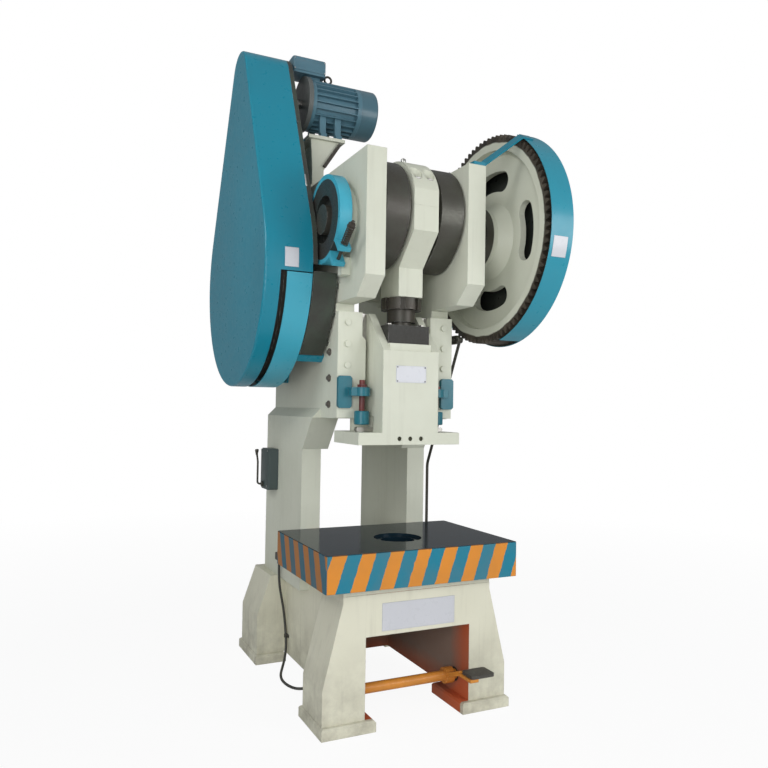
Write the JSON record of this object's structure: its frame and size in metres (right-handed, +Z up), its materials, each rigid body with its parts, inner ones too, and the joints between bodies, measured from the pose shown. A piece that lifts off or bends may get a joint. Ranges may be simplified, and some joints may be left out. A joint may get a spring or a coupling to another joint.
{
  "type": "mechanical stamping press",
  "caption": "Open-back mechanical stamping press with a belt-driven flywheel, a gear stage, a crank-driven ram and a treadle.",
  "frame": {"origin": "on the floor, under the middle of the bolster", "axes": "+Z up, +X to the press's right, +Y to its back"},
  "size_m": [1.306, 1.7533, 3.343],
  "materials": {
    "cream_paint": "satin enamel over castings",
    "teal_paint": "glossy enamel",
    "bolster_steel": "ground and oiled",
    "dark_iron": "greasy dark iron",
    "machined_steel": "turned and ground",
    "bronze": "turned bronze",
    "motor_paint": "satin enamel",
    "grey_paint": "satin enamel",
    "belt_rubber": "matt",
    "treadle_paint": "worn enamel",
    "pad_rubber": "worn"
  },
  "bodies": {
    "root": {"side_frame_right": "cream_paint", "side_frame_left": "cream_paint", "base_frame": "cream_paint", "bolster": "bolster_steel", "rear_web": "cream_paint", "tie_plates": "cream_paint", "main_bushes": "bronze", "backshaft_bushes": "bronze", "gibs": "machined_steel", "gib_keepers": "cream_paint", "gib_bolts": "machined_steel", "stop_brackets": "teal_paint", "stop_screws": "dark_iron", "stop_heads": "teal_paint", "drive_belts": "belt_rubber", "belt_guard_cover": "teal_paint", "belt_guard_band": "teal_paint", "guard_brackets": "teal_paint", "flywheel_shield": "dark_iron", "gear_guard": "teal_paint", "motor_body": "motor_paint", "motor_flange": "grey_paint", "motor_cowl": "motor_paint", "terminal_box": "motor_paint", "motor_bracket": "cream_paint", "motor_fittings": "dark_iron", "brake_band": "teal_paint", "brake_bolt": "dark_iron", "brake_anchor": "cream_paint", "linkage_bearings": "dark_iron", "lever_box": "grey_paint", "conduit": "belt_rubber", "conduit_fittings": "dark_iron"},
    "crank": {"crankshaft": "dark_iron", "clutch_collar": "dark_iron", "crank_end_cap": "machined_steel", "brake_drum": "dark_iron"},
    "conrod": {"connecting_rod": "cream_paint", "rod_cap": "cream_paint", "rod_cap_bolts": "machined_steel", "crankpin_bush": "bronze", "adjusting_screw": "dark_iron", "lock_ring": "dark_iron"},
    "ram": {"ram": "cream_paint", "ball_cap": "dark_iron", "ram_screws": "machined_steel"},
    "knockout": {"knockout_bar": "machined_steel"},
    "gear": {"drive_gear": "cream_paint", "gear_bush": "bronze"},
    "backshaft": {"back_shaft": "machined_steel", "pinion": "machined_steel", "flywheel": "dark_iron", "flywheel_nut": "machined_steel"},
    "rotor": {"motor_rotor": "machined_steel", "motor_pulley": "dark_iron"},
    "treadle": {"treadle": "treadle_paint", "treadle_pad": "pad_rubber"},
    "pull_rod": {"pull_rod": "dark_iron"},
    "clutch_lever": {"clutch_lever": "dark_iron"},
    "handle": {"lever_handle": "dark_iron"}
  },
  "joints": [
    {"name": "flywheel_spin", "type": "hinge", "parent": "root", "child": "backshaft", "pos_m": [0, 0.57636, 2.12], "axis": [-1, 0, 0], "continuous": true},
    {"name": "gear_spin", "type": "hinge", "parent": "root", "child": "gear", "pos_m": [0, -0.04, 2.32], "axis": [-1, 0, 0], "continuous": true},
    {"name": "motor_spin", "type": "hinge", "parent": "root", "child": "rotor", "pos_m": [0, 0.55, 3.105], "axis": [-1, 0, 0], "continuous": true},
    {"name": "crank_turn", "type": "hinge", "parent": "root", "child": "crank", "pos_m": [0, -0.04, 2.32], "axis": [-1, 0, 0], "range_deg": [0, 180]},
    {"name": "rod_swing", "type": "hinge", "parent": "crank", "child": "conrod", "pos_m": [0, -0.04, 2.383], "axis": [-1, 0, 0], "range_deg": [-180, 0]},
    {"name": "ram_slide", "type": "slide", "parent": "root", "child": "ram", "axis": [0, 0, 1], "range_m": [-0.126, 0]},
    {"name": "knockout_lift", "type": "slide", "parent": "ram", "child": "knockout", "axis": [0, 0, 1], "range_m": [0, 0.012]},
    {"name": "treadle_press", "type": "hinge", "parent": "root", "child": "treadle", "pos_m": [0, -0.15, 0.136], "axis": [1, 0, 0], "range_deg": [0, 5]},
    {"name": "rod_lift", "type": "slide", "parent": "root", "child": "pull_rod", "axis": [0, 0, 1], "range_m": [0, 0.048]},
    {"name": "clutch_trip", "type": "hinge", "parent": "root", "child": "clutch_lever", "pos_m": [0.344, 0.16, 1.794], "axis": [-1, 0, 0], "range_deg": [0, 18]},
    {"name": "handle_turn", "type": "hinge", "parent": "root", "child": "handle", "pos_m": [-0.42, 0.8325, 0.98767], "axis": [1, 0, 0], "range_deg": [0, 60]}
  ],
  "couplings": [
    {"joint": "gear_spin", "follows": "flywheel_spin", "ratio": -0.22727},
    {"joint": "motor_spin", "follows": "flywheel_spin", "ratio": 5.9832},
    {"joint": "rod_swing", "follows": "crank_turn", "ratio": -1},
    {"joint": "ram_slide", "follows": "crank_turn", "m_per_rad": -0.040107},
    {"joint": "rod_lift", "follows": "treadle_press", "m_per_rad": 0.55},
    {"joint": "clutch_trip", "follows": "treadle_press", "ratio": 3.37}
  ]
}
